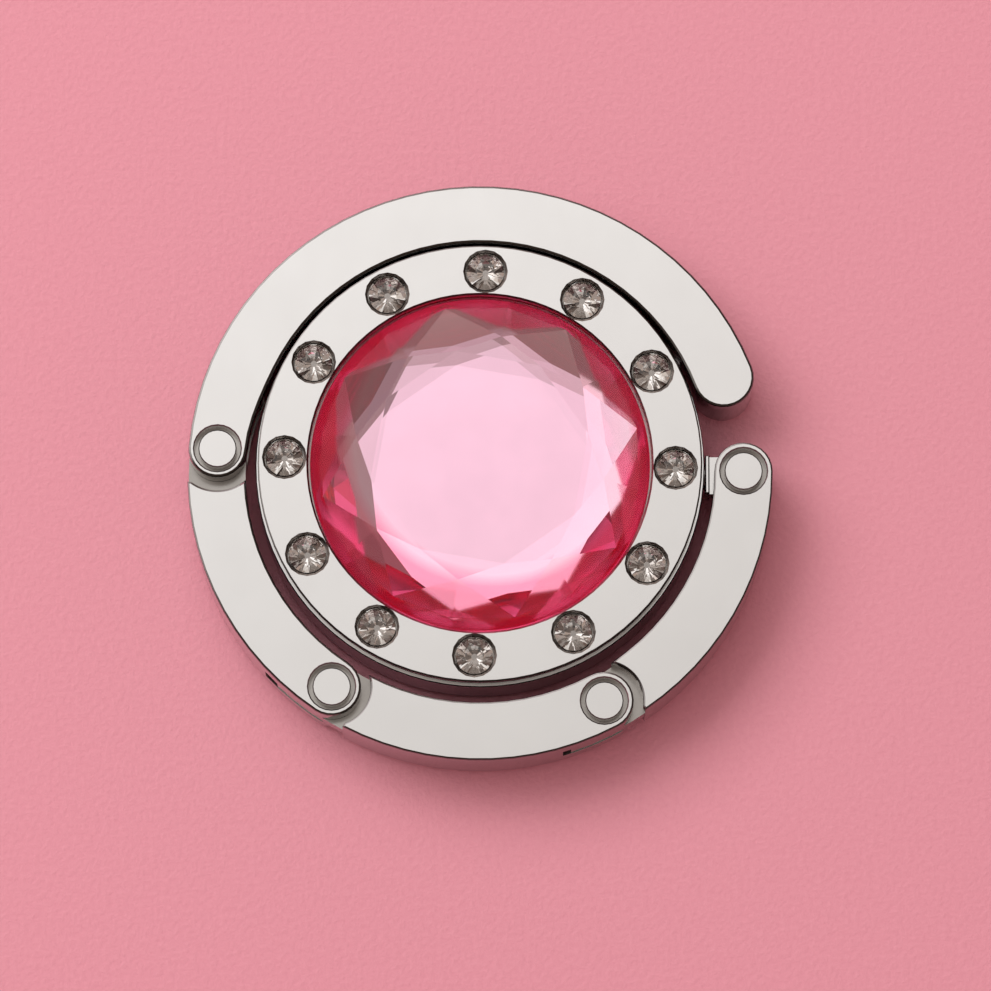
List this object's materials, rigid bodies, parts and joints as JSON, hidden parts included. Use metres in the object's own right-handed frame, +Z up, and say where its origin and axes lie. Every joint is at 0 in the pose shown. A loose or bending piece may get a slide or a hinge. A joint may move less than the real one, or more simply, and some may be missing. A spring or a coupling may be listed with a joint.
{
  "type": "purse hook",
  "caption": "Round jewelled table-top disc with a ring of hinged links around it that swivels down and opens into a hook for a bag's strap.",
  "frame": {"origin": "centre of the rubber pad's underside, where the part rests on a table", "axes": "+Z is up, the way the jewelled face looks; +X points from the disc's centre to the swivel; the free tip lies on the +Y side of the swivel while the ring is folded"},
  "size_m": [0.045, 0.0451, 0.0088],
  "materials": {
    "nickel": "polished nickel plating on a zinc die casting",
    "spring_steel": "satin",
    "magnet": "nickel-plated magnet",
    "pink_crystal": "faceted, clear pink",
    "clear_crystal": "faceted, clear",
    "foil": "reflecting foil",
    "rubber": "matt"
  },
  "bodies": {
    "disc": {"housing": "nickel", "base_plate": "nickel", "rubber_pad": "rubber", "center_gem": "pink_crystal", "gem_foil": "foil", "body_magnet": "magnet", "rhinestone_01": "clear_crystal", "rhinestone_02": "clear_crystal", "rhinestone_03": "clear_crystal", "rhinestone_04": "clear_crystal", "rhinestone_05": "clear_crystal", "rhinestone_06": "clear_crystal", "rhinestone_07": "clear_crystal", "rhinestone_08": "clear_crystal", "rhinestone_09": "clear_crystal", "rhinestone_10": "clear_crystal", "rhinestone_11": "clear_crystal", "rhinestone_12": "clear_crystal"},
    "swivel": {"swivel_eye": "nickel", "swivel_clip": "spring_steel"},
    "link_1": {"link_1": "nickel", "pin_1": "nickel"},
    "link_2": {"link_2": "nickel", "pin_2": "nickel"},
    "link_3": {"link_3": "nickel", "pin_3": "nickel"},
    "link_4": {"link_4": "nickel", "pin_4": "nickel", "tip_magnet": "magnet"}
  },
  "joints": [
    {"name": "swivel", "type": "hinge", "parent": "disc", "child": "swivel", "pos_m": [0.0174, -0.00056, 0.0034], "axis": [1, 0, 0], "range_deg": [0, 90]},
    {"name": "link_1_hinge", "type": "hinge", "parent": "swivel", "child": "link_1", "pos_m": [0.0203, -0.00056, 0.0034], "axis": [0, 0, 1], "range_deg": [0, 50]},
    {"name": "link_2_hinge", "type": "hinge", "parent": "link_1", "child": "link_2", "pos_m": [0.00953, -0.01848, 0.0034], "axis": [0, 0, 1], "range_deg": [0, 15]},
    {"name": "link_3_hinge", "type": "hinge", "parent": "link_2", "child": "link_3", "pos_m": [-0.01135, -0.01739, 0.0034], "axis": [0, 0, 1], "range_deg": [0, 25]},
    {"name": "link_4_hinge", "type": "hinge", "parent": "link_3", "child": "link_4", "pos_m": [-0.02022, 0.00121, 0.0034], "axis": [0, 0, 1], "range_deg": [0, 100]}
  ],
  "couplings": [
    {"joint": "link_1_hinge", "follows": "link_4_hinge", "ratio": 0.5},
    {"joint": "link_2_hinge", "follows": "link_4_hinge", "ratio": 0.15},
    {"joint": "link_3_hinge", "follows": "link_4_hinge", "ratio": 0.25}
  ]
}
